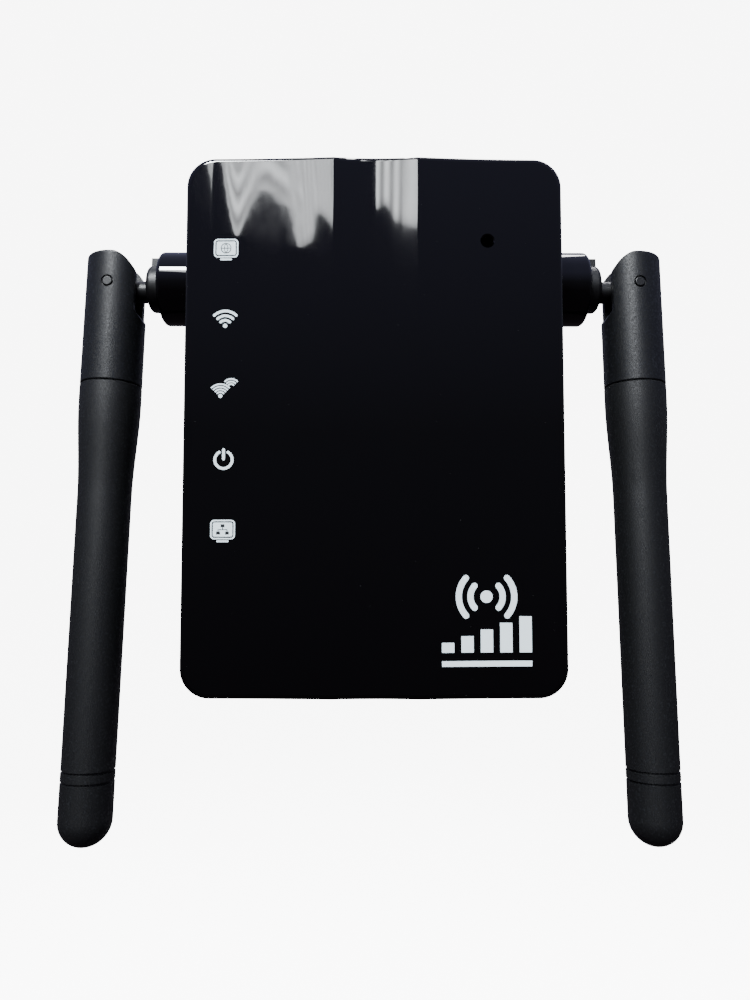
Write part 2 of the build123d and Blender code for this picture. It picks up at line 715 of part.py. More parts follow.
with BuildPart() as mode_slider:
    with BuildSketch(across(INSIDE_X - GAP - 1.0)):
        with Locations((SIDE_Y, SIDE_Z)):
            Rectangle(4.6, 12.0)
    extrude(amount=1.0)
    with BuildSketch(across(INSIDE_X - GAP - 0.1)):
        with Locations((SIDE_Y, SIDE_Z)):
            Rectangle(KNOB_W, KNOB_H)
    extrude(amount=CASE_W / 2 + 0.7 - INSIDE_X + GAP + 0.1)
    outer = mode_slider.edges().group_by(Axis.X)[-1]
    fillet(outer, 0.25)
    with BuildSketch(across(INSIDE_X - GAP - 0.9)):
        with Locations((SIDE_Y, SIDE_Z)):
            Rectangle(1.2, 1.6)
    extrude(amount=-2.2)
save(mode_slider, "mode_slider")

with BuildPart() as mode_switch:
    with BuildSketch(across(26.7)):
        with Locations((BOARD_BACK_Y + 2.2, SIDE_Z)):
            Rectangle(4.4, 10.0)
    extrude(amount=-4.2)
    with BuildSketch(across(26.7)):
        with Locations((SIDE_Y, SIDE_Z)):
            Rectangle(1.2 + 2 * GAP, 1.6 + 2 * SLIDER_TRAVEL + 2 * GAP)
    extrude(amount=-2.4, mode=Mode.SUBTRACT)
save(mode_switch, "mode_switch_body")

# ---------------------------------------------------------------- network sockets

CONTACT_PITCH = 1.02

for name, middle in (("wan", -SOCKET_X), ("lan", SOCKET_X)):
    with BuildPart() as housing:
        with BuildSketch(Plane.XY.offset(BOTTOM_Z)):
            with Locations((middle, SOCKET_Y)):
                Rectangle(SOCKET_W, SOCKET_T)
        extrude(amount=SOCKET_L)
        with BuildSketch(Plane.XY.offset(BOTTOM_Z)):
            with Locations((middle, SOCKET_Y + 0.6)):
                Rectangle(11.9, 8.2)
            with Locations((middle, SOCKET_Y - 4.2)):
                Rectangle(6.2, 1.8)
            with Locations((middle, SOCKET_Y - 5.4)):
                Rectangle(3.4, 1.0)
        extrude(amount=SOCKET_L - 2.0, mode=Mode.SUBTRACT)
    save(housing, f"{name}_socket_housing")
    with BuildPart() as contacts:
        spots = [(middle + CONTACT_PITCH * (i - 3.5), SOCKET_Y + 4.45) for i in range(8)]
        with BuildSketch(Plane.XY.offset(BOTTOM_Z + 1.5)):
            with Locations(*spots):
                Rectangle(0.4, 0.5)
        extrude(amount=SOCKET_L - 3.5)
    save(contacts, f"{name}_socket_contacts")

# ---------------------------------------------------------------- power supply board

with BuildPart() as supply_board:
    with BuildSketch(upright(SUPPLY_BACK_Y)):
        with Locations((0, (SUPPLY_BOTTOM_Z + SUPPLY_TOP_Z) / 2)):
            Rectangle(SUPPLY_W, SUPPLY_TOP_Z - SUPPLY_BOTTOM_Z)
        with Locations(*SUPPLY_SCREWS):
            Circle(SMALL_SCREW_R, mode=Mode.SUBTRACT)
    extrude(amount=BOARD_T)
save(supply_board, "supply_board")

CORE_X = 4.0
CORE_Z = 8.0
CORE_W = 14.0
CORE_L = 13.0
CORE_T = 5.5
CORE_LIFT = 2.6          # gap between the supply board and the core
LEG_R = 2.2

with BuildPart() as transformer_core:
    with BuildSketch(upright(SUPPLY_FRONT_Y - CORE_LIFT)):
        with Locations((CORE_X, CORE_Z)):
            Rectangle(CORE_W, CORE_L)
            Rectangle(CORE_W - 4.0, CORE_L - 4.0, mode=Mode.SUBTRACT)
            Rectangle(2 * LEG_R, CORE_L)
    extrude(amount=CORE_T)
save(transformer_core, "transformer_core")

with BuildPart() as transformer_winding:
    with BuildSketch(Plane.XY.offset(CORE_Z - CORE_L / 2 + 2.0)):
        with Locations((CORE_X, SUPPLY_FRONT_Y - CORE_LIFT - CORE_T / 2)):
            RectangleRounded(CORE_W - 4.0, 10.4, 1.5)
            Rectangle(2 * LEG_R, CORE_T, mode=Mode.SUBTRACT)
    extrude(amount=CORE_L - 4.0)
save(transformer_winding, "transformer_winding")


def can_capacitor(x, z, radius, height):
    """A round capacitor that stands on the supply board."""
    with BuildSketch(upright(SUPPLY_FRONT_Y)) as outline:
        with Locations((x, z)):
            Circle(radius)
    extrude(outline.sketch, amount=height)


with BuildPart() as bulk_capacitors:
    can_capacitor(-11.5, 19.0, 4.0, 11.0)
    can_capacitor(-11.5, 9.5, 4.0, 11.0)
    tops = bulk_capacitors.edges().filter_by(GeomType.CIRCLE).group_by(Axis.Y)[0]
    fillet(tops, 0.5)
save(bulk_capacitors, "bulk_capacitors")

with BuildPart() as output_capacitor:
    can_capacitor(15.5, 22.0, 3.15, 10.0)
    top = output_capacitor.edges().filter_by(GeomType.CIRCLE).group_by(Axis.Y)[0]
    fillet(top, 0.4)
save(output_capacitor, "output_capacitor")

with BuildPart() as fuse_resistor:
    with BuildSketch(Plane.XY.offset(-11.0)):
        with Locations((-16.5, SUPPLY_FRONT_Y - 2.0)):
            Circle(1.7)
    extrude(amount=9.0)
    fillet(fuse_resistor.edges().filter_by(GeomType.CIRCLE), 0.5)
    for z in (-12.0, -1.0):
        with BuildSketch(upright(SUPPLY_FRONT_Y)):
            with Locations((-16.5, z)):
                Rectangle(0.6, 0.6)
        extrude(amount=2.3)
        with BuildSketch(Plane.XY.offset(z)):
            with Locations((-16.5, SUPPLY_FRONT_Y - 2.0)):
                Circle(0.3)
        extrude(amount=1.5 if z < -5 else -1.5)
save(fuse_resistor, "fuse_resistor")

with BuildPart() as bridge_rectifier:
    chip(SUPPLY_FRONT_Y, -10.0, -8.0, 4.0, 4.8, 2.4, 2, 2.5)
save(bridge_rectifier, "bridge_rectifier")

with BuildPart() as controller_chip:
    chip(SUPPLY_FRONT_Y, 1.0, -8.0, 4.0, 5.0, 1.5, 4, 1.27)
save(controller_chip, "controller_chip")

with BuildPart() as y_capacitor:
    with BuildSketch(Plane.XY.offset(22.0)):
        with Locations((1.0, SUPPLY_FRONT_Y - 5.0)):
            Circle(3.8)
    extrude(amount=3.0)
    fillet(y_capacitor.edges().filter_by(GeomType.CIRCLE), 1.2)
    with BuildSketch(upright(SUPPLY_FRONT_Y)):
        with Locations((-1.2, 23.5), (3.2, 23.5)):
            Rectangle(0.6, 0.6)
    extrude(amount=3.0)
save(y_capacitor, "y_capacitor")

HEADER_X = 14.0
HEADER_Z = -3.0

with BuildPart() as power_header:
    block_on(SUPPLY_FRONT_Y, HEADER_X, HEADER_Z, 2.5, 7.6, 2.5)
    with BuildSketch(upright(SUPPLY_FRONT_Y)):
        with Locations(*[(HEADER_X, HEADER_Z + 2.54 * i) for i in (-1, 0, 1)]):
            Rectangle(0.64, 0.64)
    extrude(amount=SUPPLY_FRONT_Y - BOARD_BACK_Y)
save(power_header, "power_header")

# ---------------------------------------------------------------- antennas

COAX_R = 0.7
SPIGOT_R = 3.0
SPIGOT_L = 6.0
TAPER_START = 20.0
TAPER_END = 37.0
TAPER_MID_R = 4.82
SLEEVE_WAIST_R = 4.45
SLEEVE_END_R = 4.3
BORE_R = 2.6
BORE_END = 89.0
GROOVES = (82.2, 83.9)
GROOVE_W = 0.5
GROOVE_DEPTH = 0.3
SHAFT_END_X = 27.4
RING_X = 35.0
RING_MINOR_R = 0.5
LUG_W = 2.0
KNUCKLE_CORNER_R = 4.64
KNUCKLE_CORNER_X = 0.3
KNUCKLE_CORNER_Z = 2.6
KNUCKLE_SLOPE = 2.6      # height of the slope below the flat

for side, name in SIDES.items():
    swivel = hinge_place(side)
    place = swivel.location
    shaft_axis = Axis(swivel.origin, swivel.x_dir)

    def along(x):
        """Distance along the swivel's own x, for a place at x from the case's middle."""
        return x - HINGE_X

    with BuildPart() as swivel_base:
        with BuildSketch(local(place, Plane.XY)):
            with BuildLine():
                Polyline(
                    (along(SHAFT_END_X), 0), (along(SHAFT_END_X), SHAFT_R),
                    (along(FLANGE_X + GAP), SHAFT_R), (along(FLANGE_X + GAP), FLANGE_R),
                    (along(FLANGE_X + GAP + FLANGE_T), FLANGE_R),
                    (along(FLANGE_X + GAP + FLANGE_T), SHAFT_R),
                    (along(RING_X), SHAFT_R), (along(RING_X), SHAFT_R - 2 * RING_MINOR_R),
                    (along(RING_X + 2 * RING_MINOR_R), SHAFT_R - 2 * RING_MINOR_R),
                    (along(RING_X + 2 * RING_MINOR_R), SHAFT_R),
                    (along(BOSS_END_X + GAP), SHAFT_R), (along(BOSS_END_X + GAP), COLLAR_R),
                    (along(COLLAR_X), COLLAR_R),
                    (along(COLLAR_X), 0),
                    close=True,
                )
            make_face()
        revolve(axis=shaft_axis)
        collar_rims = swivel_base.edges().filter_by(GeomType.CIRCLE).sort_by(shaft_axis)
        fillet(collar_rims[-1], COLLAR_END_R)

        # Round neck, and the flat tongue that the fold pin passes through
        with BuildSketch(local(place, Plane.YZ.offset(along(COLLAR_X) - 0.3))):
            with Locations((0, -PIN_DROP)):
                Circle(NECK_R)
        extrude(amount=0.3 - along(COLLAR_X))
        with BuildSketch(local(place, Plane.XZ.offset(-TONGUE_T / 2))):
            with Locations((0, -PIN_DROP)):
                Circle(TONGUE_R)
        extrude(amount=TONGUE_T)

        # Stop lug on the collar
        lug_start_x = BOSS_END_X + GAP
        with BuildSketch(local(place, Plane.XY.offset(COLLAR_R - 0.6))):
            with Locations((along((lug_start_x + LUG_END_X) / 2), 0)):
                Rectangle(LUG_END_X - lug_start_x, LUG_W)
        extrude(amount=LUG_TOP - COLLAR_R + 0.6)

        # Fold pin's hole and the coax's bore
        with BuildSketch(local(place, Plane.XZ.offset(-TONGUE_T))):
            with Locations((0, -PIN_DROP)):
                Circle(PIN_HINGE_R + RUN_FIT)
        extrude(amount=2 * TONGUE_T, mode=Mode.SUBTRACT)
        with BuildSketch(local(place, Plane.YZ.offset(along(SHAFT_END_X)))):
            Circle(COAX_R + 0.3)
        extrude(amount=along(COLLAR_X + 1.6) - along(SHAFT_END_X), mode=Mode.SUBTRACT)
    save(swivel_base, f"swivel_base_{name}")

    with BuildPart() as friction_ring:
        with BuildSketch(local(place, Plane.XY)):
            with Locations((along(RING_X + RING_MINOR_R), SHAFT_R - RING_MINOR_R)):
                Circle(RING_MINOR_R)
        revolve(axis=shaft_axis)
    save(friction_ring, f"friction_ring_{name}")

    with BuildPart() as swivel_coax:
        with BuildSketch(local(place, Plane.YZ.offset(along(SHAFT_END_X + 0.2)))):
            Circle(COAX_R)
        extrude(amount=along(COLLAR_X + 1.2) - along(SHAFT_END_X + 0.2))
    save(swivel_coax, f"swivel_coax_{name}")

    # The antenna's own frame leans outward by its splay
    antenna = hinge_place(side, PIN_DROP, SPLAY[side])
    place = antenna.location
    long_axis = Axis(antenna.origin, antenna.z_dir)

    with BuildPart() as knuckle:
        with BuildSketch(local(place, Plane.XY.offset(-KNUCKLE_L))):
            Circle(ANTENNA_R)
        extrude(amount=KNUCKLE_L + KNUCKLE_TOP)
        rims = knuckle.edges().filter_by(GeomType.CIRCLE)
        fillet(rims.sort_by(long_axis)[-1], 0.5)
        fillet(knuckle.edges().filter_by(GeomType.CIRCLE).sort_by(long_axis)[0], 0.25)

        # The side toward the case is flat, with a round corner, so the antenna can fold outward
        with BuildSketch(local(place, Plane.XZ.offset(-2 * ANTENNA_R))):
            with BuildLine():
                corner = RadiusArc(
                    (KNUCKLE_CORNER_X, KNUCKLE_TOP), (-KNUCKLE_FLAT, KNUCKLE_CORNER_Z),
                    -KNUCKLE_CORNER_R,
                )
                Polyline(
                    corner @ 1, (-KNUCKLE_FLAT, -KNUCKLE_FLAT),
                    (-KNUCKLE_TOP, -KNUCKLE_FLAT - KNUCKLE_SLOPE), (-KNUCKLE_TOP, -KNUCKLE_L),
                    (ANTENNA_R, -KNUCKLE_L), (ANTENNA_R, KNUCKLE_TOP), corner @ 0,
                )
            make_face()
        extrude(amount=4 * ANTENNA_R, mode=Mode.INTERSECT)

        # Spigot that the sleeve is pressed on
        with BuildSketch(local(place, Plane.XY.offset(-KNUCKLE_L))):
            Circle(SPIGOT_R)
        extrude(amount=-SPIGOT_L)

        # Slot for the tongue, open to the top and to the case
        with BuildSketch(local(place, Plane.XZ.offset(-SLOT_T / 2))):
            with BuildLine():
                Polyline(
                    (-7, 7), (-7, -6.4), (-1.6, -2.8), (2.8, -2.8), (2.8, 7),
                    close=True,
                )
            make_face()
        extrude(amount=SLOT_T, mode=Mode.SUBTRACT)

        # Fold pin's hole, with a ring round each of its ends, and the coax's bore
        with BuildSketch(local(place, Plane.XZ.offset(-2 * ANTENNA_R))):
            Circle(PIN_HINGE_R)
        extrude(amount=4 * ANTENNA_R, mode=Mode.SUBTRACT)
        for end in (-1, 1):
            with BuildSketch(local(place, Plane.XZ.offset(end * (ANTENNA_R - 0.4)))):
                Circle(PIN_HINGE_R + 0.2)
            extrude(amount=end * 2, mode=Mode.SUBTRACT)
        with BuildSketch(local(place, Plane.XY.offset(-KNUCKLE_L - SPIGOT_L))):
            Circle(COAX_R + 0.2)
        extrude(amount=KNUCKLE_L + SPIGOT_L, mode=Mode.SUBTRACT)
    save(knuckle, f"antenna_knuckle_{name}")

    with BuildPart() as hinge_pin:
        with BuildSketch(local(place, Plane.XZ.offset(-ANTENNA_R))):
            Circle(PIN_HINGE_R)
        extrude(amount=2 * ANTENNA_R)
        fillet(hinge_pin.edges().filter_by(GeomType.CIRCLE), 0.2)
    save(hinge_pin, f"hinge_pin_{name}")

    with BuildPart() as sleeve:
        with BuildSketch(local(place, Plane.XZ)):
            with BuildLine():
                Polyline(
                    (SPIGOT_R, -KNUCKLE_L), (ANTENNA_R - 0.25, -KNUCKLE_L),
                    (ANTENNA_R, -KNUCKLE_L - 0.25), (ANTENNA_R, -TAPER_START),
                )
                Spline(
                    (ANTENNA_R, -TAPER_START), (TAPER_MID_R, -(TAPER_START + TAPER_END) / 2),
                    (SLEEVE_WAIST_R, -TAPER_END),
                    tangents=((0, -1), (0, -1)),
                )
                Polyline(
                    (SLEEVE_WAIST_R, -TAPER_END), (SLEEVE_END_R, -GROOVES[0] + 1),
                    (SLEEVE_END_R, -TIP + SLEEVE_END_R),
                )
                RadiusArc((SLEEVE_END_R, -TIP + SLEEVE_END_R), (0, -TIP), SLEEVE_END_R)
                Polyline(
                    (0, -TIP), (0, -BORE_END), (BORE_R, -BORE_END), (BORE_R, -KNUCKLE_L - SPIGOT_L),
                    (SPIGOT_R, -KNUCKLE_L - SPIGOT_L), (SPIGOT_R, -KNUCKLE_L),
                )
            make_face()
            with Locations(*[(SLEEVE_END_R, -down) for down in GROOVES]):
                Rectangle(2 * GROOVE_DEPTH, GROOVE_W, mode=Mode.SUBTRACT)
        revolve(axis=long_axis)
    save(sleeve, f"antenna_sleeve_{name}")

    with BuildPart() as radiator:
        with BuildSketch(local(place, Plane.XZ)):
            with BuildLine():
                Polyline(
                    (COAX_R, -48), (2.1, -48), (2.1, -74), (1.8, -74), (1.8, -50), (COAX_R, -50),
                    close=True,
                )
            make_face()
        revolve(axis=long_axis)
    save(radiator, f"antenna_radiator_{name}")

    with BuildPart() as antenna_coax:
        with BuildSketch(local(place, Plane.XY.offset(-3.2))):
            Circle(COAX_R)
        extrude(amount=-58.8)
        with BuildSketch(local(place, Plane.XY.offset(-62.0))):
            Circle(COAX_R / 2)
        extrude(amount=-25.0)
    save(antenna_coax, f"antenna_coax_{name}")

    with BuildPart() as case_coax:
        bend = side * 21.0
        start = side * (SHAFT_END_X - 0.5)
        with BuildLine():
            FilletPolyline(
                (start, SEAM_Y, SHAFT_Z), (bend, SEAM_Y, SHAFT_Z), (bend, BOARD_BACK_Y, SHAFT_Z),
                radius=3.5,
            )
        with BuildSketch(Plane(origin=(start, SEAM_Y, SHAFT_Z), x_dir=(0, 1, 0), z_dir=(-side, 0, 0))):
            Circle(COAX_R)
        sweep()
    save(case_coax, f"case_coax_{name}")
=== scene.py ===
import json
import math

import bmesh
import bpy
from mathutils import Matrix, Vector
from mathutils.bvhtree import BVHTree


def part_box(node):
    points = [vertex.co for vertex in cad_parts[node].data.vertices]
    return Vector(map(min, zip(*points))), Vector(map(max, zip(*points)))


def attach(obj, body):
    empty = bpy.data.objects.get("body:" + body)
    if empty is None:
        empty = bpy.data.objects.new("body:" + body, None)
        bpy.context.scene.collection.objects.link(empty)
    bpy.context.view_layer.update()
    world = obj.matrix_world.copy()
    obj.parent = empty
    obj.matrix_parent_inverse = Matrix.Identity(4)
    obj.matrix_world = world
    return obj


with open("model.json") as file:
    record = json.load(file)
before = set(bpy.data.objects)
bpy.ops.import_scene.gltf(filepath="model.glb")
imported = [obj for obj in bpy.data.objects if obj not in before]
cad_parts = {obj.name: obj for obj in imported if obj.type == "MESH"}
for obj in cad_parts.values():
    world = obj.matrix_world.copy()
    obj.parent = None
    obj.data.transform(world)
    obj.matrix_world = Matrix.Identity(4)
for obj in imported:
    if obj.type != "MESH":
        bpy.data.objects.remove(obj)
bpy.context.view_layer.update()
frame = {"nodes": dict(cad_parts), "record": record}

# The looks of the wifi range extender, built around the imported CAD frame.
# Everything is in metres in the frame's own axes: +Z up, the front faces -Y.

MM = 0.001

# ---------------------------------------------------------------- places from the frame

SHELL_LOW, SHELL_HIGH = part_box("front_shell")
LED_LOW, LED_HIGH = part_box("status_leds")
FACE_MID_Z = (SHELL_LOW.z + SHELL_HIGH.z) / 2
CREST_HEIGHT = 0.8 * MM
RIM_Y = SHELL_LOW.y + CREST_HEIGHT
ICON_X = (LED_LOW.x + LED_HIGH.x) / 2
ICON_COUNT = 5
LED_HALF = 0.4 * MM
ICON_TOP_Z = LED_HIGH.z - LED_HALF
ICON_PITCH = (LED_HIGH.z - LED_LOW.z - 2 * LED_HALF) / (ICON_COUNT - 1)
MARK_X = 17.3 * MM
MARK_Z = FACE_MID_Z - 31.0 * MM
PRINT_LIFT = 0.02 * MM
PRINT_ROOT = 0.03 * MM

face_mesh = frame["nodes"]["front_shell"].data
FACE = BVHTree.FromPolygons(
    [v.co.copy() for v in face_mesh.vertices],
    [tuple(p.vertices) for p in face_mesh.polygons],
)


def face_y(x, z):
    """How deep the front's surface is at x, z."""
    hit = FACE.ray_cast(Vector((x, -1.0, z)), Vector((0, 1, 0)))
    return hit[0].y


# ---------------------------------------------------------------- materials


class Shader:
    """A Principled material, with short calls for the detail that moulded parts show."""

    def __init__(self, name, color, roughness, metallic=0.0, ior=1.5, coat=0.0):
        self.material = bpy.data.materials.new(name)
        self.material.use_nodes = True
        self.tree = self.material.node_tree
        self.bsdf = self.tree.nodes["Principled BSDF"]
        self.color = color
        self.set("Base Color", (*color, 1))
        self.set("Roughness", roughness)
        self.set("Metallic", metallic)
        self.set("IOR", ior)
        self.set("Coat Weight", coat)
        coordinates = self.tree.nodes.new("ShaderNodeTexCoord")
        self.place = coordinates.outputs["Object"]

    def set(self, socket, value):
        self.bsdf.inputs[socket].default_value = value

    def link(self, source, target):
        self.tree.links.new(source, target)

    def noise(self, size, detail=3.0, roughness=0.55, stretch=None):
        """A noise pattern whose features are about size metres across."""
        source = self.place
        if stretch:
            mapping = self.tree.nodes.new("ShaderNodeMapping")
            mapping.inputs["Scale"].default_value = stretch
            self.link(source, mapping.inputs["Vector"])
            source = mapping.outputs["Vector"]
        node = self.tree.nodes.new("ShaderNodeTexNoise")
        node.inputs["Scale"].default_value = 1 / size
        node.inputs["Detail"].default_value = detail
        node.inputs["Roughness"].default_value = roughness
        self.link(source, node.inputs["Vector"])
        return node.outputs["Fac"]

    def cells(self, size):
        """A cell pattern: the distance from each cell's centre."""
        node = self.tree.nodes.new("ShaderNodeTexVoronoi")
        node.inputs["Scale"].default_value = 1 / size
        self.link(self.place, node.inputs["Vector"])
        return node.outputs["Distance"]

    def span(self, source, low, high, start=0.3, end=0.7):
        """Maps a pattern's start to end on to low to high."""
        node = self.tree.nodes.new("ShaderNodeMapRange")
        node.inputs["From Min"].default_value = start
        node.inputs["From Max"].default_value = end
        node.inputs["To Min"].default_value = low
        node.inputs["To Max"].default_value = high
        self.link(source, node.inputs["Value"])
        return node.outputs["Result"]

    def rough(self, pattern, low, high, start=0.3, end=0.7):
        """Varies the roughness from low to high with a pattern."""
        self.link(self.span(pattern, low, high, start, end), self.bsdf.inputs["Roughness"])

    def tint(self, pattern, other, start=0.3, end=0.7):
        """Blends the base colour with another one where the pattern is high."""
        node = self.tree.nodes.new("ShaderNodeMix")
        node.data_type = "RGBA"
        node.inputs["A"].default_value = (*self.color, 1)
        node.inputs["B"].default_value = (*other, 1)
        self.link(self.span(pattern, 0, 1, start, end), node.inputs["Factor"])
        self.link(node.outputs["Result"], self.bsdf.inputs["Base Color"])

    def bump(self, pattern, depth, strength):
        node = self.tree.nodes.new("ShaderNodeBump")
        node.inputs["Strength"].default_value = strength
        node.inputs["Distance"].default_value = depth
        self.link(pattern, node.inputs["Height"])
        self.link(node.outputs["Normal"], self.bsdf.inputs["Normal"])


GLOSS_BLACK = (0.0011, 0.001, 0.0014)
DUST_GREY = (0.12, 0.12, 0.125)


def case_gloss():
    """Piano-black gloss: a faint orange peel, faint smears and a few specks of dust."""
    shader = Shader("case_gloss", GLOSS_BLACK, 0.03)
    smears = shader.noise(16 * MM, detail=5, roughness=0.65, stretch=(1, 1, 0.45))
    shader.rough(smears, 0.018, 0.075, 0.42, 0.78)
    specks = shader.span(shader.cells(1.5 * MM), 1, 0, 0.012, 0.03)
    shader.tint(specks, DUST_GREY, 0.5, 1)
    shader.bump(shader.noise(5 * MM, detail=2), 0.004 * MM, 0.35)
    return shader.material


def scaled(color, factor):
    return tuple(c * factor for c in color)


def grained(name, color, other, grain, depth, roughness):
    """Matte moulded plastic with a fine spark-eroded grain; the lighter specks in its colour are
    painted sparkle, glints of light put into the colour.
    """
    shader = Shader(name, color, roughness, ior=1.46)
    grain_and_painted_sparkle = shader.noise(grain, detail=2, roughness=0.7)
    # The lighter specks tinted in here are painted glints, sparkle of light on the grain; the
    # roughness and bump below are the grain itself.
    shader.tint(grain_and_painted_sparkle, other, 0.5, 0.72)
    shader.rough(grain_and_painted_sparkle, roughness + 0.16, roughness - 0.1, 0.35, 0.65)
    shader.bump(grain_and_painted_sparkle, depth, 0.7)
    return shader.material


def satin(name, color, roughness):
    """Smooth moulded plastic with a weak sheen and slight unevenness."""
    shader = Shader(name, color, roughness)
    patches = shader.noise(4 * MM, detail=4)
    shader.rough(patches, roughness - 0.06, roughness + 0.09)
    shader.tint(patches, scaled(color, 1.35), 0.45, 0.8)
    shader.bump(shader.noise(0.35 * MM, detail=2), 0.006 * MM, 0.5)
    return shader.material


def metal(name, color, roughness, stretch=(1, 8, 1)):
    """Plated or drawn metal with fine marks along one direction."""
    shader = Shader(name, color, roughness, metallic=1.0)
    marks = shader.noise(0.5 * MM, stretch=stretch)
    shader.rough(marks, roughness - 0.05, roughness + 0.1)
    shader.tint(shader.noise(3 * MM), scaled(color, 0.8), 0.5, 0.9)
    shader.bump(marks, 0.003 * MM, 0.4)
    return shader.material


def board():
    """Green solder mask, with faint tracks under it."""
    shader = Shader("board_green", (0.012, 0.09, 0.035), 0.35, coat=0.3)
    tracks = shader.noise(2.2 * MM, detail=0, stretch=(3, 1, 1))
    shader.tint(tracks, (0.03, 0.17, 0.06), 0.49, 0.52)
    shader.rough(shader.noise(1 * MM), 0.3, 0.42)
    return shader.material


def clear_guide():
    """The clear plastic of the light guide, faintly frosted."""
    shader = Shader("guide_clear", (0.85, 0.9, 0.95), 0.2, ior=1.49)
    shader.rough(shader.noise(2 * MM), 0.12, 0.3)
    return shader.material


def printed(name, color, other, glow=0.0):
    """Screen-printed ink with a slightly uneven cover; glow is painted light, so the ink shines by
    itself with no lamp behind it.
    """
    shader = Shader(name, color, 0.42, ior=1.45)
    shader.set("Emission Color", (*color, 1))
    shader.set("Emission Strength", glow)
    cover = shader.noise(0.5 * MM)
    shader.tint(cover, other, 0.35, 0.75)
    shader.rough(cover, 0.36, 0.5)
    shader.bump(cover, 0.002 * MM, 0.3)
    return shader.material


SLOT_MATERIALS = {
    "case_gloss": case_gloss(),
    # The second colour of each grained plastic is its painted sparkle, lighter specks that stand in
    # for glints.
    "antenna_black": grained(
        "antenna_black", (0.003, 0.0034, 0.0046), (0.022, 0.024, 0.029),
        grain=0.42 * MM, depth=0.022 * MM, roughness=0.42,
    ),
    "sleeve_black": grained(
        "sleeve_black", (0.0045, 0.0048, 0.0056), (0.024, 0.0255, 0.029),
        grain=0.38 * MM, depth=0.018 * MM, roughness=0.47,
    ),
    "swivel_black": satin("swivel_black", (0.002, 0.0022, 0.0028), 0.42),
    "control_black": satin("control_black", (0.01, 0.01, 0.012), 0.3),
    "inner_black": satin("inner_black", (0.012, 0.012, 0.013), 0.45),
    "pin_metal": metal("pin_metal", (0.72, 0.7, 0.66), 0.22, stretch=(6, 1, 6)),
    "screw_steel": metal("screw_steel", (0.42, 0.42, 0.44), 0.34),
    "label_paper": satin("label_paper", (0.42, 0.42, 0.43), 0.5),
    "board_green": board(),
    "chip_black": satin("chip_black", (0.013, 0.013, 0.014), 0.55),
    "part_metal": metal("part_metal", (0.62, 0.62, 0.63), 0.32),
    "capacitor_sleeve": satin("capacitor_sleeve", (0.012, 0.02, 0.07), 0.3),
    "ferrite": satin("ferrite", (0.035, 0.035, 0.04), 0.6),
    "winding_tape": satin("winding_tape", (0.6, 0.42, 0.05), 0.35),
    "ceramic_blue": satin("ceramic_blue", (0.02, 0.1, 0.38), 0.32),
    "resistor_body": satin("resistor_body", (0.06, 0.17, 0.13), 0.4),
    "contact_gold": metal("contact_gold", (0.82, 0.56, 0.18), 0.25),
    "radiator_brass": metal("radiator_brass", (0.7, 0.47, 0.18), 0.3),
    "coax_jacket": satin("coax_jacket", (0.22, 0.1, 0.05), 0.4),
    "lead_insulation": satin("lead_insulation", (0.13, 0.03, 0.02), 0.45),
    "guide_clear": clear_guide(),
    "led_white": satin("led_white", (0.75, 0.75, 0.6), 0.3),
    "ring_rubber": satin("ring_rubber", (0.01, 0.01, 0.01), 0.6),
}
# The white ink of the icons and the lower-right mark is given a painted glow: it shines by itself,
# brighter than the lamps alone would light it.
PRINT_WHITE_PAINTED_GLOW = printed("print_white_painted_glow", (0.74, 0.86, 0.93), (0.8, 0.9, 0.96), glow=1.1)
PRINT_DARK = printed("print_dark", (0.02, 0.024, 0.028), (0.03, 0.034, 0.038))

for subpart in frame["record"]["subparts"]:
    node = frame["nodes"][subpart["node"]]
    node.material_slots[0].material = SLOT_MATERIALS[subpart["material_slot"]]

# ---------------------------------------------------------------- printed icons

# An icon is drawn in millimetres about its own centre: x right, z up.
ARC_STEP = math.radians(6)
DOT_END = 340           # a dot's outline stops here, and its last side closes the circle
SCREEN_Z = 0.14         # middle of a monitor's screen
GLYPH_LIFT = 2 * PRINT_LIFT


def arc(radius, start, end, x=0.0, z=0.0):
    """Points on an arc, from start to end in degrees, counterclockwise from +x."""
    start, end = math.radians(start), math.radians(end)
    count = int((end - start) / ARC_STEP) + 1
    angles = [start + (end - start) * i / (count - 1) for i in range(count)]
    return [(x + radius * math.cos(a), z + radius * math.sin(a)) for a in angles]


def rounded(width, height, radius, z):
    """The closed outline of a rectangle with round corners, its middle at height z."""
    points = []
    corners = ((1, 1, 0), (-1, 1, 90), (-1, -1, 180), (1, -1, 270))
    for side_x, side_z, start in corners:
        middle = (side_x * (width / 2 - radius), z + side_z * (height / 2 - radius))
        points += arc(radius, start, start + 90, *middle)
    return points


